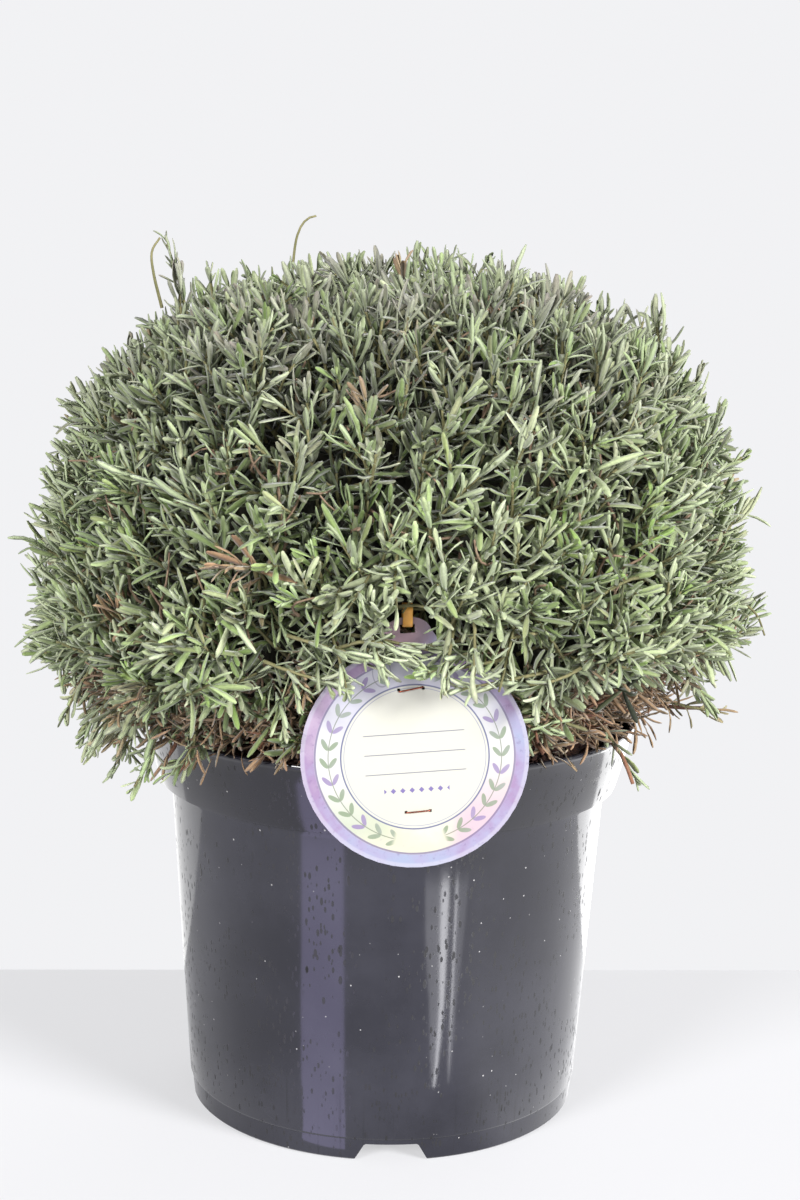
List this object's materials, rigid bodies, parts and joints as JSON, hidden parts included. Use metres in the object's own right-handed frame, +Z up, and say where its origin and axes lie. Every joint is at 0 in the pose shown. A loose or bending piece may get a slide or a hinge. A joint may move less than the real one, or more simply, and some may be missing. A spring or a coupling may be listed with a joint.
{
  "type": "potted lavender",
  "caption": "Clipped dome of grey-green lavender in a round dark nursery pot, with a round card label hanging from a twig at the front.",
  "frame": {"origin": "on the ground at the middle of the pot's foot", "axes": "+Z up along the pot's axis; -Y towards the front, where the label hangs; +X to the right seen from the front"},
  "size_m": [0.3831, 0.3647, 0.4507],
  "materials": {
    "pot_plastic": "glossy dark blue-grey moulded plastic with water spots and scuffs",
    "soil": "moist dark peat, loose and matt",
    "woody_stem": "dry brown bark and withered leaves",
    "leaf": "matt grey-green living leaf, finely hairy",
    "card": "satin printed card with a lilac border",
    "tie_plastic": "soft orange plastic strap",
    "staple_wire": "coppery wire"
  },
  "bodies": {
    "root": {"pot": "pot_plastic", "soil": "soil", "woody_stems": "woody_stem", "foliage": "leaf", "label": "card", "label_staple_upper": "staple_wire", "label_staple_lower": "staple_wire", "label_tie": "tie_plastic"}
  },
  "joints": []
}
